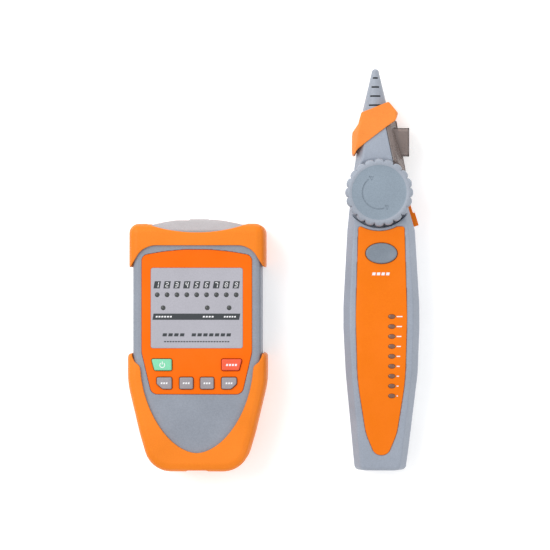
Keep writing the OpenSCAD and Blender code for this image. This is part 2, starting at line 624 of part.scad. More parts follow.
module probe_nose_collar() color(orange) probe() difference() {
    intersection() {
        slab(rounded(collar), 0, 40);
        across(rounded(grown(collar_side, collar_t)));
        probe_form(-collar_side_t);
    }
    probe_body(-fit);
    tip_bore(fit);
    along_tip(tip_root_y - 0.3) cylinder(r1 = tip_root_r + 0.2, r2 = tip_end_r, h = tip_len);
    jack_space(fit);
}
module probe_side_window() color(smoke, 0.6) probe() difference() {
    intersection() {
        probe_body();
        window_cut(-fit);
    }
    probe_body(1.6);
    jack_space(fit);
    knob_pocket();
    tip_bore(fit);
}
module at_probe_port() probe() translate([probe_jack_out, probe_jack_y, probe_jack_z]) rotate(-90) children();
module probe_rj45_jack() color(smoke, 0.6) at_probe_port() jack(probe_jack_body, rj45_mouth);
module probe_rj45_contacts() color("gold") at_probe_port() contacts(probe_jack_body, rj45_mouth, 8, 1.02);
module probe_side_button() color(face_orange) probe() at_side() {
    side_block(side_back + 0.5, side_steps[0], 0, side_button.x / 2, side_button.y / 2);
    side_block(side_back + 0.5, side_steps[1], -side_button.x / 2, 0, side_button.y / 2);
    side_block(side_back, side_back + 1, -side_button.x / 2 - side_flange, side_button.x / 2 + side_flange,
        side_button.y / 2 + side_flange);
}
module probe_side_switch() color(dark) probe() at_side()
    side_block(-9.5, side_back - side_travel - 0.1, -4, 4, 3);
probe_battery_at = [-0.3, probe_door_y + battery_play, wall + 0.3];
module probe_battery() color("#2b2d33") probe() nine_volt(probe_battery_at);
module probe_battery_snap() color("black") probe() battery_snap(probe_battery_at);
module probe_battery_door() color(grey) probe() door(probe_door_y, 0);
module probe_speaker() color("#23252a") probe() post(speaker_at, speaker_r, wall + 0.2, wall + 6);
module probe_screws() color("silver") probe()
    for (p = probe_screws_at) screw(p, probe_screw_head, probe_screw_r, probe_screw_z, probe_screw_len);

sender_rear_shell();
sender_front_shell();
sender_top_boot();
sender_bottom_boot();
sender_faceplate();
sender_display_panel();
sender_wiremap_leds();
sender_status_leds();
sender_power_key();
sender_mode_key();
sender_key_1();
sender_key_2();
sender_key_3();
sender_key_4();
sender_key_switches();
sender_circuit_board();
sender_chips();
sender_port_panel();
sender_rj45_jack();
sender_rj45_contacts();
sender_rj11_jack();
sender_rj11_contacts();
sender_battery();
sender_battery_snap();
sender_battery_door();
sender_screws();
probe_rear_shell();
probe_front_shell();
probe_faceplate();
probe_scan_key();
probe_scan_switch();
probe_signal_leds();
probe_circuit_board();
probe_chips();
probe_sensitivity_knob();
probe_knob_shaft();
probe_potentiometer();
probe_tip();
probe_antenna();
probe_nose_collar();
probe_side_window();
probe_rj45_jack();
probe_rj45_contacts();
probe_side_button();
probe_side_switch();
probe_battery();
probe_battery_snap();
probe_battery_door();
probe_speaker();
probe_screws();
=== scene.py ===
"""Looks of the cable tone-and-probe kit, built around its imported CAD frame.

Lengths are in millimetres in each unit's own frame, as in the CAD: x from the unit's middle, y from its
heel, z up from the surface that it lies on.
"""

import json
import math

import bmesh
import bpy
import numpy as np
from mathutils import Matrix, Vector, geometry


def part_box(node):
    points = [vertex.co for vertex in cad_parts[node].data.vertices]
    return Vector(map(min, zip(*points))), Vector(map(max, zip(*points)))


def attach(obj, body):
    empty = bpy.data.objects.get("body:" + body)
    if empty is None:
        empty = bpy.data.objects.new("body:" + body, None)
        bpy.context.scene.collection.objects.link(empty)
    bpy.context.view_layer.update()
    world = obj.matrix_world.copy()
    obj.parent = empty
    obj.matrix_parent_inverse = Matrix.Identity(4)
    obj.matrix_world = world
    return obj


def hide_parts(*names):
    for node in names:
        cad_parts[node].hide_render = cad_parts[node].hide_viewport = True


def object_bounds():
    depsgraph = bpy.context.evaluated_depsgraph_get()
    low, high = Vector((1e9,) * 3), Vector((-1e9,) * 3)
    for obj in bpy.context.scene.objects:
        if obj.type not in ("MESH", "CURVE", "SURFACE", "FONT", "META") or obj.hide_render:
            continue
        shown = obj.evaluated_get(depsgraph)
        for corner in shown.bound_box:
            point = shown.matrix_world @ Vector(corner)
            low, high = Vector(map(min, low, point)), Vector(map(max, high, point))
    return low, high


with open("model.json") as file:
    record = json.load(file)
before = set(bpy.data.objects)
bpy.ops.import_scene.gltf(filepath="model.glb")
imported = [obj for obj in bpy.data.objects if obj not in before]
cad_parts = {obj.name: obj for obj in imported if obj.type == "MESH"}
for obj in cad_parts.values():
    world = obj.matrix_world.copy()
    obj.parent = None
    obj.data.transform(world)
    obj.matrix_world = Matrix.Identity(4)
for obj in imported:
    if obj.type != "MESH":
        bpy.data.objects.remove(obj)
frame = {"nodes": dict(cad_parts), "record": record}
cad_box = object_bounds()

MM = 0.001
BASE_Y = cad_box[0].y / MM
SLOT_OF = {part["node"]: part["material_slot"] for part in frame["record"]["subparts"]}
BODY_OF = {node: body for body, nodes in frame["record"]["behaviour"]["bodies"].items() for node in nodes}


def box_mm(node):
    low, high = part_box(node)
    return low / MM, high / MM


# ---------- places that come from the frame ----------
boot_low, boot_high = box_mm("sender_bottom_boot")
shell_low, shell_high = box_mm("probe_front_shell")
SENDER = Vector(((boot_low.x + boot_high.x) / 2, BASE_Y, 0))
HANDLE_HW = (shell_high.x - shell_low.x) / 2
PROBE = Vector(((shell_low.x + shell_high.x) / 2, BASE_Y, 0))
BOOT_HW = (boot_high.x - boot_low.x) / 2
BOOT_H = boot_high.z
FACE_TOP = box_mm("sender_faceplate")[1].z
KEY_TOP = box_mm("sender_power_key")[1].z
PROBE_LEN = (cad_box[1].y - cad_box[0].y) / MM

# ---------- outlines: [x, y, fillet radius], anticlockwise ----------
ARC_STEPS = 8
SHELL_HALF = [[21.9, 2.4, 12], [28.1, 21, 60], [34, 47, 45], [34, 129.5, 6]]
BOTTOM_BOOT_HALF = [[24.5, 0, 14], [30.4, 20, 60], [BOOT_HW, 47, 45], [BOOT_HW, 90, 2]]
TOP_BOOT_HALF = [[36, 80, 1.2], [36, 131.5, 5]]
FACE_HALF = [[24, 41.1, 4], [29.3, 63.5, 14], [29.3, 114.7, 3.5], [18, 116.7, 100], [7, 117.8, 60]]
DISPLAY_HALF = [[24.4, 65.5, 1.2], [24.4, 108.1, 1.2]]
UPPER_KEY = [[13.2, 53.7, 0.8], [22.4, 53.7, 0.8], [24.1, 59.8, 0.8], [13.2, 59.8, 0.8]]
OUTER_KEY = [[13.2, 43.9, 0.8], [18.2, 43.9, 2], [21.2, 46.6, 1.5], [21.2, 50.1, 0.8], [13.2, 50.1, 0.8]]
INNER_KEY = [[1.9, 43.9, 0.8], [9.1, 43.9, 0.8], [9.1, 50.1, 0.8], [1.9, 50.1, 0.8]]
PROBE_OUTLINE = [
    [12.9, 0, 3], [15.8, 22, 100], [19.3, 52, 60], [HANDLE_HW, 76, 100], [HANDLE_HW, 88, 100],
    [17.8, 128, 3], [14.1, 141, 12], [12.8, 160, 20], [7.2, 188, 3], [-10.2, 190, 3],
    [-14.3, 162, 60], [-17.9, 132, 40], [-HANDLE_HW, 88, 100], [-HANDLE_HW, 74, 100], [-19, 52, 60],
    [-16.2, 22, 100], [-14.2, 0, 3]]
PROBE_SIDE = [
    [0, 5, 3], [14, 0, 30], [132, 0, 60], [190, 6.5, 1], [190, 21.5, 1], [160, 28.2, 60],
    [130, 30, 100], [60, 30, 200], [0, 22.5, 3]]
PROBE_FACE_TOP = 130
PROBE_FACE_HALF_LEFT = [
    [-12.2, PROBE_FACE_TOP, 1.2], [-13.6, 82, 120], [-12.6, 48, 120], [-8.2, 20, 30], [-3.4, 8.5, 4.5]]
PROBE_FACE_HALF_RIGHT = [
    [3.4, 8.5, 4.5], [8.2, 20, 30], [12.6, 48, 120], [13.6, 82, 120], [12.2, PROBE_FACE_TOP, 1.2]]
KNOB_AT = (-1.2, 147.9)
LAND_R = 20.3
SCAN_AT = (0, 115.8)
SCAN_AXES = (8.35, 5.45)
SIGNAL_AXES = (1.85, 1.15)
SIGNALS = [(5.5, 82.3 - 5.27 * i) for i in range(9)]
WIREMAP = [(i * 5.24, 93.8) for i in range(-4, 5)]
STATUS = [(-17.8, 86.9), (5.6, 86.9), (17.2, 86.9)]
LED_R = 1.15


def fillet(a, p, b, r):
    """Points of the arc of radius r that rounds corner p between its neighbours a and b."""
    a, p, b = (Vector(q[:2]) for q in (a, p, b))
    u, v = (a - p).normalized(), (b - p).normalized()
    half = math.acos(max(-1, min(1, u.dot(v)))) / 2
    if r <= 0 or half > math.radians(89.9):
        return [p]
    reach = r / math.tan(half)
    centre = p + (u + v).normalized() * r / math.sin(half)
    start, end = p + u * reach - centre, p + v * reach - centre
    begin = math.atan2(start.y, start.x)
    turn = (math.atan2(end.y, end.x) - begin + 3 * math.pi) % (2 * math.pi) - math.pi
    angles = [begin + turn * i / ARC_STEPS for i in range(ARC_STEPS + 1)]
    return [centre + r * Vector((math.cos(t), math.sin(t))) for t in angles]


def rounded(v):
    return [q for i in range(len(v)) for q in fillet(v[i - 1], v[i], v[(i + 1) % len(v)], v[i][2])]


def mirrored(half):
    return half + [[-x, y, r] for x, y, r in reversed(half)]


def flipped(v):
    return [[-x, y, r] for x, y, r in reversed(v)]


def grown(v, d):
    """The outline with every edge moved outward by d, or inward where d is negative."""
    out = []
    for i, (x, y, r) in enumerate(v):
        a, p, b = Vector(v[i - 1][:2]), Vector((x, y)), Vector(v[(i + 1) % len(v)][:2])
        e, f = (p - a).normalized(), (b - p).normalized()
        m, n = Vector((e.y, -e.x)), Vector((f.y, -f.x))
        q = p + (m + n) * d / (1 + m.dot(n))
        left = e.x * f.y - e.y * f.x > 0
        out.append([q.x, q.y, max(0.1, r + (d if left else -d))])
    return out


def oval(centre, axes, count=48):
    angles = [2 * math.pi * i / count for i in range(count)]
    return [Vector((centre[0] + axes[0] * math.cos(t), centre[1] + axes[1] * math.sin(t))) for t in angles]


def crossing(outline, axis, value):
    """Lowest and highest position along the other axis where the outline crosses axis = value."""
    hits = []
    for p, q in zip(outline, outline[1:] + outline[:1]):
        if (p[axis] - value) * (q[axis] - value) <= 0 and p[axis] != q[axis]:
            t = (value - p[axis]) / (q[axis] - p[axis])
            hits.append(p[1 - axis] + t * (q[1 - axis] - p[1 - axis]))
    return min(hits), max(hits)


PROBE_PLAN = rounded(PROBE_OUTLINE)
PROBE_PROFILE = rounded(PROBE_SIDE)


def probe_front_z(y):
    return crossing(PROBE_PROFILE, 0, min(189.9, max(0.1, y)))[1]


# ---------- mesh tools ----------
def inside(points, loops):
    """Which points lie inside the loops, holes counted out."""
    odd = np.zeros(len(points), bool)
    for loop in loops:
        p = np.array(loop, float)
        q = np.roll(p, -1, axis=0)
        for (x0, y0), (x1, y1) in zip(p, q):
            if y0 == y1:
                continue
            across = (points[:, 1] < y0) != (points[:, 1] < y1)
            at = x0 + (points[:, 1] - y0) / (y1 - y0) * (x1 - x0)
            odd ^= across & (points[:, 0] < at)
    return odd


def away_from(points, loops, reach):
    """Which points lie further than reach from every point of the loops."""
    rim = np.array([p for loop in loops for p in loop], float)
    return np.array([np.min(np.hypot(*(rim - p).T)) > reach for p in points], bool)


class Skin:
    """A mesh made of rings of points, strips between them and filled faces."""

    def __init__(self, origin, lift=None):
        self.bm = bmesh.new()
        self.origin = origin
        self.lift = lift or (lambda x, y: 0)

    def point(self, x, y, z):
        place = Vector((x, y, z + self.lift(x, y))) + self.origin
        return self.bm.verts.new(place * MM)

    def ring(self, points, z):
        return [self.point(p[0], p[1], z) for p in points]

    def bridge(self, a, b, material=0):
        for i in range(len(a)):
            j = (i + 1) % len(a)
            self.bm.faces.new((a[i], a[j], b[j], b[i])).material_index = material

    def strips(self, rings, material=0):
        for a, b in zip(rings, rings[1:]):
            self.bridge(a, b, material)

    def plan(self, ring):
        return [(v.co.x / MM - self.origin.x, v.co.y / MM - self.origin.y) for v in ring]

    def fill(self, outer, holes=(), z=0, grid=0, material=0):
        """Triangles between a ring and the rings of its holes, with grid points where the face is curved."""
        loops = [self.plan(r) for r in (outer, *holes)]
        verts = [v for r in (outer, *holes) for v in r]
        plane = [Vector(p) for loop in loops for p in loop]
        edges, start = [], 0
        for loop in loops:
            n = len(loop)
            edges += [(start + i, start + (i + 1) % n) for i in range(n)]
            start += n
        if grid:
            xs, ys = zip(*loops[0])
            cells = [
                (x, y)
                for x in np.arange(min(xs) + grid / 2, max(xs), grid)
                for y in np.arange(min(ys) + grid / 2, max(ys), grid)
            ]
            cells = np.array(cells)
            cells = cells[inside(cells, loops)]
            cells = cells[away_from(cells, loops, grid * 0.4)]
            plane += [Vector(c) for c in cells]
            verts += [self.point(c[0], c[1], z) for c in cells]
        made = geometry.delaunay_2d_cdt(plane, edges, [], 0, 1e-6)
        places, faces, origins = made[0], made[2], made[3]
        middles = np.array([sum((places[i] for i in f), Vector((0, 0))) / len(f) for f in faces])
        for f, within in zip(faces, inside(middles, loops)):
            if within:
                corners = [verts[origins[i][0]] for i in f]
                if len(set(corners)) == 3 and not self.bm.faces.get(corners):
                    self.bm.faces.new(corners).material_index = material

    def build(self, name, *materials):
        bmesh.ops.recalc_face_normals(self.bm, faces=self.bm.faces)
        mesh = bpy.data.meshes.new(name)
        self.bm.to_mesh(mesh)
        self.bm.free()
        return shaded(new_object(name, mesh), *materials)


def new_object(name, mesh):
    obj = bpy.data.objects.new(name, mesh)
    bpy.context.scene.collection.objects.link(obj)
    return obj


def shaded(obj, *materials, angle=35):
    """Smooth shading that keeps true edges and leaves flat faces flat."""
    if obj.data.materials and materials:
        obj.data.materials.clear()
    for m in materials:
        obj.data.materials.append(m)
    obj.data.shade_smooth()
    obj.data.set_sharp_from_angle(angle=math.radians(angle))
    weighted = obj.modifiers.new("weighted_normals", "WEIGHTED_NORMAL")
    weighted.mode = "FACE_AREA_WITH_ANGLE"
    weighted.keep_sharp = True
    return obj


def stands_for(obj, node, *more):
    """obj replaces a CAD node and rides on that node's body."""
    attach(obj, BODY_OF[node])
    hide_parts(node, *more)
    return obj


def trim(obj, body):
    """obj is a small detail that rides on a body."""
    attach(obj, body)
    return obj


def quarter(outline, z, r, steps=4, inward=True):
    """Outlines and heights round an edge: from the wall at z - r to the face at z."""
    side = -1 if inward else 1
    turns = [math.radians(90 * i / steps) for i in range(steps + 1)]
    return [(grown(outline, side * r * (1 - math.cos(t))), z - r + r * math.sin(t)) for t in turns]


def plate(name, origin, outline, z0, z1, materials, holes=(), edge=0.4, hole_edge=0.25, lift=None, grid=0):
    """A plate with a rounded front edge and holes whose front edges are rounded."""
    skin = Skin(origin, lift)
    foot = min(edge, 0.2)
    outer = [skin.ring(rounded(grown(outline, -foot)), z0), skin.ring(rounded(outline), z0 + foot)]
    outer += [skin.ring(rounded(o), z) for o, z in quarter(outline, z1, edge)]
    skin.strips(outer)
    inner = []
    for hole in holes:
        rings = [skin.ring(rounded(hole), z0)]
        rings += [skin.ring(rounded(o), z) for o, z in quarter(hole, z1, hole_edge, 3, inward=False)]
        skin.strips(rings)
        inner.append(rings)
    skin.fill(outer[-1], [r[-1] for r in inner], z1, grid)
    skin.fill(outer[0], [r[0] for r in inner], z0, grid)
    return skin.build(name, *materials)


def ring_outline(centre, axes, corners=24):
    """An oval as an outline with hardly any fillet, so that plate() can use it as a hole."""
    return [[p.x, p.y, 0.0] for p in oval(centre, axes, corners)]


def lens(skin, centre, axes, z0, z1, bulge, count=32):
    """A lamp's lens: a straight wall and a domed front."""
    rings = [skin.ring(oval(centre, axes, count), z0)]
    for i in range(7):
        t = math.radians(90 * i / 6)
        scale = 0.08 + 0.92 * math.cos(t)
        z = z1 - bulge + bulge * math.sin(t)
        rings.append(skin.ring(oval(centre, [a * scale for a in axes], count), z))
    skin.strips(rings)
    skin.bm.faces.new(rings[-1])
    skin.bm.faces.new(rings[0])


def loft(name, rings, origin):
    """A closed solid through rings of 3D points with equal counts."""
    bm = bmesh.new()
    loops = [[bm.verts.new((Vector(p) + origin) * MM) for p in ring] for ring in rings]
    for a, b in zip(loops, loops[1:]):
        for i in range(len(a)):
            j = (i + 1) % len(a)
            bm.faces.new((a[i], a[j], b[j], b[i]))
    bm.faces.new(loops[0])
    bm.faces.new(loops[-1])
    bmesh.ops.recalc_face_normals(bm, faces=bm.faces)
    mesh = bpy.data.meshes.new(name)
    bm.to_mesh(mesh)
    bm.free()
    return new_object(name, mesh)


def pillow(outline, z0, z1, r, origin):
    """A rounded slab, used to round what it's cut against."""
    rings = []
    for i in range(9):
        t = math.radians(90 * i / 8)
        shape = rounded(grown(outline, -r * (1 - math.sin(t)) + 0.05))
        rings.append([(p[0], p[1], z0 + r * (1 - math.cos(t))) for p in shape])
    top = []
    for i in range(9):
        t = math.radians(90 * i / 8)
        shape = rounded(grown(outline, -r * (1 - math.cos(t)) + 0.05))
        top.append([(p[0], p[1], z1 - r * (1 - math.sin(t))) for p in shape])
    return loft("pillow", rings + top, origin)


def cut_copy(node, name, changes, voxel=0.4, smooth=4, keep=0.35):
    """A CAD node's shape with moulded edges: cut against solids, remeshed, smoothed and thinned out."""
    mesh = frame["nodes"][node].data.copy()
    mesh.materials.clear()
    bm = bmesh.new()
    bm.from_mesh(mesh)
    bmesh.ops.remove_doubles(bm, verts=bm.verts, dist=2e-6)
    bm.to_mesh(mesh)
    bm.free()
    obj = new_object(name + "_raw", mesh)
    for operation, solid in changes:
        boolean = obj.modifiers.new("cut", "BOOLEAN")
        boolean.operation, boolean.object, boolean.solver = operation, solid, "EXACT"
    remesh = obj.modifiers.new("remesh", "REMESH")
    remesh.mode, remesh.voxel_size = "VOXEL", voxel * MM
    ease = obj.modifiers.new("ease", "SMOOTH")
    ease.factor, ease.iterations = 0.5, smooth
    thin = obj.modifiers.new("thin", "DECIMATE")
    thin.ratio = keep
    bpy.context.view_layer.update()
    graph = bpy.context.evaluated_depsgraph_get()
    made = bpy.data.meshes.new_from_object(obj.evaluated_get(graph))
    made.name = name
    for used in [obj, *(solid for _, solid in changes)]:
        bpy.data.objects.remove(used)
    made.shade_smooth()
    return new_object(name, made)


# ---------- materials ----------
def material(name, colour, rough=0.5, grain=2600, bump=0.12, mottle=0.05, wear=0.06, **sockets):
    """Moulded material: a fine grain, slow colour changes, and rubbed patches that shine a little more."""
    m = bpy.data.materials.new(name)
    m.use_nodes = True
    nodes, links = m.node_tree.nodes, m.node_tree.links
    shader = nodes["Principled BSDF"]
    for socket, value in sockets.items():
        shader.inputs[socket.replace("_", " ")].default_value = value
    place = nodes.new("ShaderNodeTexCoord")

    def noise(scale, detail, roughness=0.5):
        n = nodes.new("ShaderNodeTexNoise")
        n.inputs["Scale"].default_value = scale
        n.inputs["Detail"].default_value = detail
        n.inputs["Roughness"].default_value = roughness
        links.new(place.outputs["Object"], n.inputs["Vector"])
        return n

    def ramp(source, low, high, at=(0.35, 0.65)):
        r = nodes.new("ShaderNodeValToRGB")
        r.color_ramp.elements[0].position, r.color_ramp.elements[1].position = at
        r.color_ramp.elements[0].color, r.color_ramp.elements[1].color = low, high
        links.new(source.outputs["Fac"], r.inputs["Fac"])
        return r

    dark = tuple(c * (1 - mottle) for c in colour[:3]) + (1,)
    pale = tuple(min(1, c * (1 + mottle * 0.6) + 0.004) for c in colour[:3]) + (1,)
    slow = ramp(noise(45, 4), dark, pale)
    fine = ramp(noise(grain * 0.6, 2), (0.5 - mottle,) * 3 + (1,), (0.5 + mottle,) * 3 + (1,))
    mix = nodes.new("ShaderNodeMix")
    mix.data_type, mix.blend_type = "RGBA", "OVERLAY"
    mix.inputs["Factor"].default_value = 0.6
    links.new(slow.outputs["Color"], mix.inputs["A"])
    links.new(fine.outputs["Color"], mix.inputs["B"])
    links.new(mix.outputs["Result"], shader.inputs["Base Color"])
    patches = ramp(noise(120, 5, 0.6), (rough - wear,) * 3 + (1,), (rough + wear * 0.5,) * 3 + (1,))
    links.new(patches.outputs["Color"], shader.inputs["Roughness"])
    if bump:
        texture = noise(grain, 3)
        lumps = nodes.new("ShaderNodeBump")
        lumps.inputs["Strength"].default_value = bump
        lumps.inputs["Distance"].default_value = 0.0002
        links.new(texture.outputs["Fac"], lumps.inputs["Height"])
        links.new(lumps.outputs["Normal"], shader.inputs["Normal"])
    return m


BOOT = material("boot_rubber", (0.82, 0.205, 0.006, 1), 0.55, bump=0.1, Specular_IOR_Level=0.25)
COLLAR = material("collar_rubber", (0.8, 0.23, 0.03, 1), 0.52, bump=0.1, Specular_IOR_Level=0.3)
FACE = material("faceplate_orange", (0.86, 0.14, 0.0005, 1), 0.4, bump=0.04, mottle=0.03,
                Specular_IOR_Level=0.1)
PROBE_FACE = material("probe_faceplate_orange", (0.82, 0.175, 0.003, 1), 0.4, bump=0.04, mottle=0.03,
                      Specular_IOR_Level=0.12)
SHELL = material("shell_grey", (0.25, 0.275, 0.325, 1), 0.46, bump=0.16, Specular_IOR_Level=0.35)
PROBE_SHELL = material("probe_shell_grey", (0.3, 0.335, 0.4, 1), 0.46, bump=0.16, Specular_IOR_Level=0.35)
PANEL = material("port_panel_grey", (0.37, 0.345, 0.355, 1), 0.42, bump=0.1)
DISPLAY = material("display_grey", (0.39, 0.385, 0.43, 1), 0.36, bump=0.03, mottle=0.03,
                   Specular_IOR_Level=0.3)
KNOB = material("knob_grey", (0.235, 0.29, 0.35, 1), 0.44, bump=0.12, Specular_IOR_Level=0.35)
# The knob's rim and sides: a lighter copy of the knob's own grey, a painted highlight for the light on the rim.
KNOB_RIM_PAINTED_HIGHLIGHT = material("knob_rim_grey", (0.31, 0.345, 0.405, 1), 0.46, bump=0.1, Specular_IOR_Level=0.35)
TIP = material("tip_grey", (0.3, 0.33, 0.385, 1), 0.42, bump=0.1, Specular_IOR_Level=0.35)
SCAN = material("scan_key_grey", (0.19, 0.225, 0.27, 1), 0.42, bump=0.08, Specular_IOR_Level=0.35)
GREEN = material("key_green", (0.19, 0.6, 0.37, 1), 0.45, bump=0.06)
RED = material("key_red", (0.8, 0.09, 0.03, 1), 0.45, bump=0.06)
KEY_GREY = material("key_grey", (0.29, 0.265, 0.285, 1), 0.45, bump=0.06)
PRINT_DARK = material("print_dark", (0.022, 0.028, 0.034, 1), 0.5, bump=0.02)
PRINT_PALE = material("print_pale", (0.8, 0.8, 0.82, 1), 0.5, bump=0.02, mottle=0.02)
LENS_DARK = material("lens_dark", (0.045, 0.05, 0.05, 1), 0.35, bump=0, Coat_Weight=0.1)
LENS_BROWN = material("lens_brown", (0.2, 0.085, 0.05, 1), 0.35, bump=0, Coat_Weight=0.1)
SMOKE = material("smoked_plastic", (0.38, 0.31, 0.29, 1), 0.2, bump=0.02, Transmission_Weight=0.6, IOR=1.46)
SMOKE_EDGE = material("smoked_edge", (0.1, 0.075, 0.07, 1), 0.3, bump=0.02, Specular_IOR_Level=0.4)
# Near-black for the walls of the tip's slots: painted shade inside the grooves.
SLOT_PAINTED_SHADE = material("slot_dark", (0.02, 0.022, 0.026, 1), 0.7, bump=0.05)
BLACK = material("black_plastic", (0.02, 0.02, 0.022, 1), 0.4, bump=0.1)
CASE = material("battery_case", (0.03, 0.035, 0.045, 1), 0.3, bump=0.03, Metallic=0.6)
BOARD = material("board_green", (0.01, 0.12, 0.05, 1), 0.3, bump=0.05)
GOLD = material("contact_gold", (0.8, 0.55, 0.2, 1), 0.25, bump=0.03, Metallic=1.0)
STEEL = material("screw_steel", (0.6, 0.6, 0.62, 1), 0.3, bump=0.06, Metallic=1.0)
FERRITE = material("ferrite", (0.05, 0.045, 0.045, 1), 0.55, bump=0.15)
INNER = {
    "black_plastic": BLACK, "battery_case": CASE, "board_green": BOARD, "contact_metal": GOLD,
    "screw_steel": STEEL, "ferrite_antenna": FERRITE, "speaker_black": BLACK, "smoked": SMOKE,
}
for node, obj in frame["nodes"].items():
    if SLOT_OF[node] in INNER:
        shaded(obj, INNER[SLOT_OF[node]])

# ---------- sender ----------
stands_for(
    shaded(cut_copy("sender_front_shell", "front_shell", []), SHELL),
    "sender_front_shell")
stands_for(
    shaded(cut_copy("sender_rear_shell", "rear_shell", [], voxel=0.5), SHELL),
    "sender_rear_shell")
BOOT_EDGE_R = 4.6
BOOTS = {
    "sender_top_boot": ("top_boot", TOP_BOOT_HALF),
    "sender_bottom_boot": ("bottom_boot", BOTTOM_BOOT_HALF),
}
for node, (name, half) in BOOTS.items():
    rounding = pillow(mirrored(half), 0, BOOT_H, BOOT_EDGE_R, SENDER)
    stands_for(shaded(cut_copy(node, name, [("INTERSECT", rounding)]), BOOT), node)
stands_for(shaded(cut_copy("sender_port_panel", "port_panel", []), PANEL), "sender_port_panel")
stands_for(
    shaded(cut_copy("sender_battery_door", "sender_door", [], voxel=0.3), SHELL),
    "sender_battery_door")

GAP = 0.25
KEYS = {
    "sender_power_key": (flipped(UPPER_KEY), GREEN),
    "sender_mode_key": (UPPER_KEY, RED),
    "sender_key_1": (flipped(OUTER_KEY), KEY_GREY),
    "sender_key_2": (flipped(INNER_KEY), KEY_GREY),
    "sender_key_3": (INNER_KEY, KEY_GREY),
    "sender_key_4": (OUTER_KEY, KEY_GREY),
}
key_holes = [grown(outline, GAP) for outline, _ in KEYS.values()]
stands_for(
    plate("faceplate", SENDER, mirrored(FACE_HALF), FACE_TOP - 1.55, FACE_TOP, [FACE],
          [*key_holes, grown(mirrored(DISPLAY_HALF), 0.05)], edge=0.5),
    "sender_faceplate")
led_holes = [ring_outline(at, (1.25, 1.25)) for at in WIREMAP + STATUS]
stands_for(
    plate("display_panel", SENDER, mirrored(DISPLAY_HALF), FACE_TOP - 0.75, FACE_TOP + 0.05, [DISPLAY],
          led_holes, edge=0.25, hole_edge=0.12),
    "sender_display_panel")
for node, (outline, m) in KEYS.items():
    name = node.replace("sender_", "")
    stands_for(plate(name, SENDER, outline, box_mm(node)[0].z, KEY_TOP, [m], edge=0.7), node)


LENS_PROUD = 0.25
LENS_BULGE = 0.35


def lamps(name, node, places, axes, origin, lift, z1, m):
    """Lenses that stand in for a node's lamps and reach down to its foot."""
    skin = Skin(origin, lift)
    low = box_mm(node)[0].z
    for at in places:
        lens(skin, at, axes, low - skin.lift(*at), z1, LENS_BULGE)
    return stands_for(skin.build(name, m), node)


lens_top = FACE_TOP + LENS_PROUD
lamps("wiremap_lamps", "sender_wiremap_leds", WIREMAP, (LED_R, LED_R), SENDER, None, lens_top, LENS_DARK)
lamps("status_lamps", "sender_status_leds", STATUS, (LED_R, LED_R), SENDER, None, lens_top, LENS_DARK)

# ---------- probe ----------
FACE_PROUD = 0.4
KNOB_TOP = box_mm("probe_sensitivity_knob")[1].z
KNOB_FOOT = box_mm("probe_sensitivity_knob")[0].z
KNOB_R = 18
TIP_X, TIP_Z = -3.2, 14
TIP_ROOT_Y = 190.1
TIP_ROOT_R, TIP_END_R = 7.3, 2
SPIGOT_R, SPIGOT_LENGTH = 5.2, 7
FACET_WIDTH, FACET_DEPTH, BACK_FACET = 3.4, 5.6, 1.2


def probe_envelope():
    """The handle's outer form: flat at the front and back, with sloping facets along the sides."""
    rings = []
    stations = [0.02, 0.5, 1.2, 2.2, 3.4, 5] + list(np.arange(7, 184, 2.5)) + [186, 191]
    for y in stations:
        left, right = crossing(PROBE_PLAN, 1, min(y, 186))
        low, high = crossing(PROBE_PROFILE, 0, min(y, 189))
        left, right, low, high = left - 0.1, right + 0.1, low - 0.1, high + 0.1
        c, d, e = FACET_WIDTH, FACET_DEPTH, BACK_FACET
        corners = [
            [right - e, low, 2.5], [right, low + e, 2.5], [right, high - d, 2.5], [right - c, high, 2.2],
            [left + c, high, 2.2], [left, high - d, 2.5], [left, low + e, 2.5], [left + e, low, 2.5]]
        rings.append([(p[0], y, p[1]) for p in rounded(corners)])
    return loft("envelope", rings, PROBE)


stands_for(
    shaded(cut_copy("probe_front_shell", "handle_front", [("INTERSECT", probe_envelope())]), PROBE_SHELL),
    "probe_front_shell")
stands_for(shaded(cut_copy("probe_rear_shell", "handle_rear", []), PROBE_SHELL), "probe_rear_shell")
stands_for(shaded(cut_copy("probe_nose_collar", "nose_collar", [], voxel=0.3), COLLAR), "probe_nose_collar")
stands_for(
    shaded(cut_copy("probe_side_window", "side_window", [], voxel=0.25, smooth=10, keep=0.6), SMOKE),
    "probe_side_window")
stands_for(
    shaded(cut_copy("probe_side_button", "side_button", [], voxel=0.25), PROBE_FACE),
    "probe_side_button")
stands_for(
    shaded(cut_copy("probe_battery_door", "probe_door", [], voxel=0.3), PROBE_SHELL),
    "probe_battery_door")


def face_lift(x, y):
    """How high the handle's front lies at a place."""
    return probe_front_z(y)


def probe_faceplate():
    """The overlay: its top edge runs concentric with the knob."""
    half_chord = math.sqrt(LAND_R**2 - (KNOB_AT[1] - PROBE_FACE_TOP) ** 2)
    begin = math.atan2(PROBE_FACE_TOP - KNOB_AT[1], half_chord)
    sweep = math.pi + 2 * begin
    arc = [begin - sweep * i / 20 for i in range(21)]
    cut = [[KNOB_AT[0] + LAND_R * math.cos(t), KNOB_AT[1] + LAND_R * math.sin(t), 0.4] for t in arc]
    return PROBE_FACE_HALF_RIGHT + cut + PROBE_FACE_HALF_LEFT


scan_hole = ring_outline(SCAN_AT, [a + GAP for a in SCAN_AXES], 48)
signal_holes = [ring_outline(at, [a + 0.1 for a in SIGNAL_AXES]) for at in SIGNALS]
stands_for(
    plate("probe_overlay", PROBE, probe_faceplate(), -1.1, FACE_PROUD, [PROBE_FACE],
          [scan_hole, *signal_holes], edge=0.35, hole_edge=0.2, lift=face_lift, grid=2.5),
    "probe_faceplate")
lamps("signal_lamps", "probe_signal_leds", SIGNALS, SIGNAL_AXES, PROBE, face_lift, FACE_PROUD + LENS_PROUD,
      LENS_BROWN)


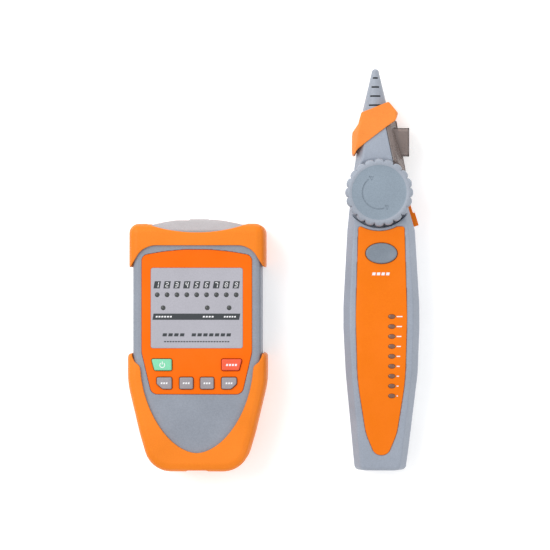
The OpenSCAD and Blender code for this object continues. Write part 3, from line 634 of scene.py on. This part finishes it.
def scan_key():
    """An oval key with a rounded rim and a dished face."""
    skin = Skin(PROBE)
    low, high = (b.z for b in box_mm("probe_scan_key"))
    flange = [a + 1.2 for a in SCAN_AXES]
    rings = [skin.ring(oval(SCAN_AT, flange), z) for z in (low, low + 1)]
    rings.append(skin.ring(oval(SCAN_AT, SCAN_AXES), low + 1.001))
    for i in range(6):
        t = math.radians(90 * i / 5)
        inset = 0.9 * (1 - math.cos(t))
        z = high - 0.9 * (1 - math.sin(t))
        rings.append(skin.ring(oval(SCAN_AT, [a - inset for a in SCAN_AXES]), z))
    for i in range(1, 9):
        scale = 1 - i / 8.6
        dip = 0.7 * (1 - (1 - i / 9) ** 2)
        rings.append(skin.ring(oval(SCAN_AT, [(a - 0.9) * scale for a in SCAN_AXES]), high - dip))
    skin.strips(rings)
    skin.fill(rings[-1])
    skin.bm.faces.new(rings[0])
    return skin.build("scan_key_cap", SCAN)


stands_for(scan_key(), "probe_scan_key")


def knob():
    """The scalloped sensitivity knob, with a rim and a turn arrow sunk into its face."""
    skin = Skin(PROBE)
    lobes, steps = 20, 10

    def scallop(r, depth):
        points = []
        for i in range(lobes * steps):
            t = 2 * math.pi * i / lobes / steps
            notch = depth * (1 - abs(math.cos(t * lobes / 2)) ** 0.45)
            reach = r - notch
            points.append((KNOB_AT[0] + reach * math.cos(t), KNOB_AT[1] + reach * math.sin(t)))
        return points

    walls = [(KNOB_R - 0.5, 1.4, KNOB_FOOT), (KNOB_R, 1.5, KNOB_FOOT + 0.5), (KNOB_R, 1.5, KNOB_TOP - 2.2),
             (KNOB_R - 0.15, 1.45, KNOB_TOP - 1.5), (KNOB_R - 0.6, 1.2, KNOB_TOP - 0.8),
             (KNOB_R - 1.3, 0.6, KNOB_TOP - 0.3), (KNOB_R - 1.9, 0.2, KNOB_TOP - 0.05), (KNOB_R - 2.4, 0, KNOB_TOP),
             (KNOB_R - 3.1, 0, KNOB_TOP - 0.02), (KNOB_R - 3.5, 0, KNOB_TOP - 0.25)]
    rings = [skin.ring(scallop(r, depth), z) for r, depth, z in walls]
    # The rim and sides take the lighter grey: painted highlight.
    skin.strips(rings, 1)
    face_z = KNOB_TOP - 0.4
    face = skin.ring(scallop(KNOB_R - 4.2, 0), face_z)
    skin.bridge(rings[-1], face)
    sunk = []
    for outline in turn_arrow():
        top, bottom = skin.ring(outline, face_z), skin.ring(outline, face_z - 0.35)
        skin.bridge(top, bottom)
        skin.fill(bottom)
        sunk.append(top)
    skin.fill(face, sunk)
    skin.bm.faces.new(rings[0])
    return skin.build("sensitivity_knob", KNOB, KNOB_RIM_PAINTED_HIGHLIGHT)


def turn_arrow():
    """A C-shaped groove with an arrowhead at each end, round the knob's middle."""
    r, half = 8.8, 0.35

    def at(radius, degrees):
        t = math.radians(degrees)
        return (KNOB_AT[0] + radius * math.cos(t), KNOB_AT[1] + radius * math.sin(t))

    arc = [at(r + half, a) for a in range(128, 289, 5)] + [at(r - half, a) for a in range(288, 127, -5)]
    heads = []
    for end, way in ((118, -1), (298, 1)):
        heads.append([at(r - 1.5, end - 4 * way), at(r + 1.5, end - 4 * way), at(r, end + 9 * way)])
    return [arc, *heads]


stands_for(knob(), "probe_sensitivity_knob")


def tip():
    """The tip: a round cone with a domed end and a spigot, and slots across its front."""
    bm = bmesh.new()
    length = PROBE_LEN - TIP_ROOT_Y
    profile = [(0.01, -SPIGOT_LENGTH), (SPIGOT_R, -SPIGOT_LENGTH), (SPIGOT_R, 0), (TIP_ROOT_R, 0.02)]
    for i in range(1, 12):
        t = i / 12
        profile.append((TIP_ROOT_R + (TIP_END_R - TIP_ROOT_R) * t, (length - TIP_END_R) * t))
    for i in range(7):
        t = math.radians(15 * i)
        dome = length - TIP_END_R + TIP_END_R * math.sin(t)
        profile.append((max(0.01, TIP_END_R * math.cos(t)), dome))
    count = 72
    loops = []
    for r, along in profile:
        loop = []
        for k in range(count):
            t = 2 * math.pi * k / count
            loop.append(Vector((TIP_X + r * math.cos(t), TIP_ROOT_Y + along, TIP_Z + r * math.sin(t))))
        loops.append([bm.verts.new((p + PROBE) * MM) for p in loop])
    for a, b in zip(loops, loops[1:]):
        for i in range(count):
            j = (i + 1) % count
            bm.faces.new((a[i], a[j], b[j], b[i]))
    bm.faces.new(loops[0])
    bm.faces.new(loops[-1])
    bmesh.ops.recalc_face_normals(bm, faces=bm.faces)
    mesh = bpy.data.meshes.new("tip_cone")
    bm.to_mesh(mesh)
    bm.free()
    obj = new_object("tip_cone", mesh)
    obj.data.materials.append(TIP)
    cutters = []
    for i in range(4):
        wide = 3.5 - 0.7 * i
        half = 0.42
        y = 194.9 + 4.9 * i
        depth = TIP_Z + 4.4 - 1.2 * i
        corners = [[-wide, y - half, 0.4], [wide, y - half, 0.4], [wide, y + half, 0.4], [-wide, y + half, 0.4]]
        shape = [(p[0] + TIP_X, p[1]) for p in rounded(corners)]
        cutters.append(loft("slot", [[(*p, depth) for p in shape], [(*p, 30) for p in shape]], PROBE))
        # The cut slot walls take the near-black material: painted shade in the slots.
        cutters[-1].data.materials.append(SLOT_PAINTED_SHADE)
        boolean = obj.modifiers.new("slot", "BOOLEAN")
        boolean.operation, boolean.object, boolean.solver = "DIFFERENCE", cutters[-1], "EXACT"
        boolean.material_mode = "TRANSFER"
    bpy.context.view_layer.update()
    made = bpy.data.meshes.new_from_object(obj.evaluated_get(bpy.context.evaluated_depsgraph_get()))
    for used in [obj, *cutters]:
        bpy.data.objects.remove(used)
    made.name = "tip_cone"
    return shaded(new_object("tip_cone", made))


stands_for(tip(), "probe_tip")

# ---------- printed marks ----------
SEGMENTS = {1: "bc", 2: "abged", 3: "abgcd", 4: "fgbc", 5: "afgcd", 6: "afgedc", 7: "abc", 8: "abcdefg",
            9: "abcdfg"}


def bar(x0, y0, x1, y1, half):
    """Corners of a straight stroke."""
    a, b = Vector((x0, y0)), Vector((x1, y1))
    along = (b - a).normalized() * half
    across = Vector((-along.y, along.x))
    return [a - along - across, b + along - across, b + along + across, a - along + across]


def digit(number, x, y, wide, tall, half, slant=0.0):
    """Strokes of a plain seven-segment digit."""
    w, h = wide / 2, tall / 2
    ends = {"a": (-w, h, w, h), "b": (w, 0, w, h), "c": (w, -h, w, 0), "d": (-w, -h, w, -h),
            "e": (-w, -h, -w, 0), "f": (-w, 0, -w, h), "g": (-w, 0, w, 0)}
    shapes = []
    for s in SEGMENTS[number]:
        x0, y0, x1, y1 = ends[s]
        shapes.append([Vector((x + p.x + slant * p.y, y + p.y)) for p in bar(x0, y0, x1, y1, half)])
    return shapes


def arc_stroke(x, y, r, start, end, half, steps=24):
    """A curved stroke round (x, y), from one angle to another."""
    angles = [math.radians(start + (end - start) * i / steps) for i in range(steps + 1)]
    outer = [Vector((x + (r + half) * math.cos(t), y + (r + half) * math.sin(t))) for t in angles]
    inner = [Vector((x + (r - half) * math.cos(t), y + (r - half) * math.sin(t))) for t in reversed(angles)]
    return outer + inner


def marks(name, shapes, z, m, origin, body, lift=None, thick=0.04):
    """Thin printed shapes lying on a face."""
    skin = Skin(origin, lift)
    for shape in shapes:
        low, high = skin.ring(shape, z - thick), skin.ring(shape, z + thick)
        skin.bridge(low, high)
        skin.fill(high)
        skin.fill(low)
    return trim(skin.build(name, m), body)


DISPLAY_TOP = FACE_TOP + 0.05


def slanted(x, y, half_w, half_h, slant):
    """A parallelogram that leans to the right."""
    corners = ((-1, -1), (1, -1), (1, 1), (-1, 1))
    return [Vector((x + i * half_w + slant * j * half_h, y + j * half_h)) for i, j in corners]


SLANT = 0.18
BOX_Y = 99.1
BAR_Y = 82.2


def dashes(x0, x1, y, count, half_h, fill=0.66, skip=()):
    """A row of short bars between two places, in the room where a label would be."""
    pitch = (x1 - x0) / count
    places = [x0 + pitch * (i + 0.5) for i in range(count) if i not in skip]
    return [slanted(x, y, pitch * fill / 2, half_h, SLANT) for x in places]


marks("display_boxes", [slanted(x, BOX_Y, 1.65, 1.9, SLANT) for x, _ in WIREMAP],
      DISPLAY_TOP, PRINT_DARK, SENDER, "sender")
numbers = [s for i, (x, _) in enumerate(WIREMAP) for s in digit(i + 1, x, BOX_Y, 1.2, 2.3, 0.19, SLANT)]
marks("display_numbers", numbers, DISPLAY_TOP + 0.06, PRINT_PALE, SENDER, "sender")
marks("display_bar", [slanted(-0.2, BAR_Y, 23.0, 1.65, SLANT)],
      DISPLAY_TOP, PRINT_DARK, SENDER, "sender")
bar_labels = dashes(-22, -13, BAR_Y, 6, 0.4) + dashes(3, 9.2, BAR_Y, 4, 0.4) + dashes(14.2, 21, BAR_Y, 5, 0.4)
marks("display_bar_dashes", bar_labels, DISPLAY_TOP + 0.06, PRINT_PALE, SENDER, "sender")
rows = dashes(-18.5, 18.5, 72.6, 12, 0.8, 0.72, skip=(4,)) + dashes(-17.5, 17.5, 69, 24, 0.3, 0.7)
marks("display_dashes", rows, DISPLAY_TOP, PRINT_DARK, SENDER, "sender")


POWER_AT = (-18.2, 56.6)
KEY_MARKS = {
    "sender_power_key": [
        arc_stroke(*POWER_AT, 1.3, 125, 415, 0.2),
        bar(POWER_AT[0], POWER_AT[1] + 0.5, POWER_AT[0], POWER_AT[1] + 1.7, 0.2)],
    "sender_mode_key": dashes(15.4, 21.6, 56.7, 4, 0.55),
    "sender_key_1": dashes(-19.2, -15.2, 47, 3, 0.45),
    "sender_key_2": dashes(-7.5, -3.5, 47, 3, 0.45),
    "sender_key_3": dashes(3.5, 7.5, 47, 3, 0.45),
    "sender_key_4": dashes(15.2, 19.2, 47, 3, 0.45),
}
for node, shapes in KEY_MARKS.items():
    name = node.replace("sender_", "") + "_mark"
    marks(name, shapes, KEY_TOP, PRINT_PALE, SENDER, BODY_OF[node])


def socket_edges():
    """The dark edges that show through the smoked socket's top."""
    low, high = box_mm("probe_rj45_jack")
    left, right = high.x - 6 - PROBE.x, high.x - PROBE.x
    near, far = low.y - PROBE.y, high.y - PROBE.y
    edges = [
        bar(right - 0.3, near + 0.4, right - 0.3, far - 0.3, 0.3),
        bar(left, near + 0.45, right - 0.45, near + 0.45, 0.45),
        bar(left - 3, far - 0.3, right - 0.3, far - 0.3, 0.25)]
    marks("socket_edges", edges, high.z, SMOKE_EDGE, PROBE, "probe")


socket_edges()


def window_rib():
    """The dark bottom edge of the window's sloping facet."""
    ends = [(12.55, 160, 22.4), (7.75, 186.5, 16.6)]
    rings = []
    for x, y, z in ends:
        left, right, low, high = x - 0.35, x + 0.35, z - 0.5, z + 0.4
        rings.append([(left, y, low), (right, y, low), (right, y, high), (left, y, high)])
    return trim(shaded(loft("window_rib", rings, PROBE), SMOKE_EDGE), "probe")


window_rib()
marks("scan_dashes", dashes(-5.2, 4.6, 104.9, 4, 0.75, 0.7), FACE_PROUD, PRINT_PALE, PROBE, "probe",
      face_lift)
ticks = [slanted(8.4 + 0.15 * i, y, 0.35 + 0.15 * i, 0.28, 0) for i, (_, y) in enumerate(reversed(SIGNALS))]
marks("signal_ticks", ticks, FACE_PROUD, PRINT_PALE, PROBE, "probe", face_lift)

# ---------- stage ----------
FLOOR = material("floor", (0.93, 0.93, 0.93, 1), 0.7, bump=0.02, mottle=0.01, Emission_Color=(1, 1, 1, 1),
                 Emission_Strength=0.3)


def floor():
    """A pale floor that runs out flat and far."""
    bm = bmesh.new()
    bmesh.ops.create_grid(bm, x_segments=8, y_segments=8, size=4)
    mesh = bpy.data.meshes.new("floor")
    bm.to_mesh(mesh)
    bm.free()
    obj = new_object("floor", mesh)
    obj.data.materials.append(FLOOR)


floor()


def area_light(name, place, aim, size, power, tint=(1, 1, 1)):
    light = bpy.data.lights.new(name, "AREA")
    light.shape, light.size, light.energy, light.color = "DISK", size, power, tint
    obj = bpy.data.objects.new(name, light)
    obj.location = place
    obj.rotation_euler = (Vector(aim) - Vector(place)).to_track_quat("-Z", "Y").to_euler()
    bpy.context.scene.collection.objects.link(obj)


area_light("key_light", (-0.7, 0.4, 1.1), (0, 0, 0), 1.0, 10)
area_light("fill_light", (0.8, -0.3, 1.0), (0, 0, 0), 0.9, 2.5)
area_light("end_light", (-0.05, 0.9, 0.2), (-0.03, 0.05, 0.02), 0.3, 1.3)
world = bpy.data.worlds.new("studio")
world.use_nodes = True
world.node_tree.nodes["Background"].inputs["Color"].default_value = (1, 1, 1, 1)
world.node_tree.nodes["Background"].inputs["Strength"].default_value = 0.72
bpy.context.scene.world = world

bpy.context.scene.view_settings.view_transform = "Standard"

# ---------- camera ----------
VIEW_WIDTH = 0.2915
CAMERA_HEIGHT = 1.5
FOCUS_HEIGHT = 0.03
camera = bpy.data.cameras.new("camera")
camera.sensor_width = 36
camera.lens = camera.sensor_width * (CAMERA_HEIGHT - FOCUS_HEIGHT) / VIEW_WIDTH
camera_object = bpy.data.objects.new("camera", camera)
AIM_X = 0.0008
camera_object.location = (0.05, -0.003, CAMERA_HEIGHT)
camera_lean = math.atan2(camera_object.location.x - AIM_X, CAMERA_HEIGHT - FOCUS_HEIGHT)
camera_object.rotation_euler = (0, camera_lean, 0)
bpy.context.scene.collection.objects.link(camera_object)
bpy.context.scene.camera = camera_object
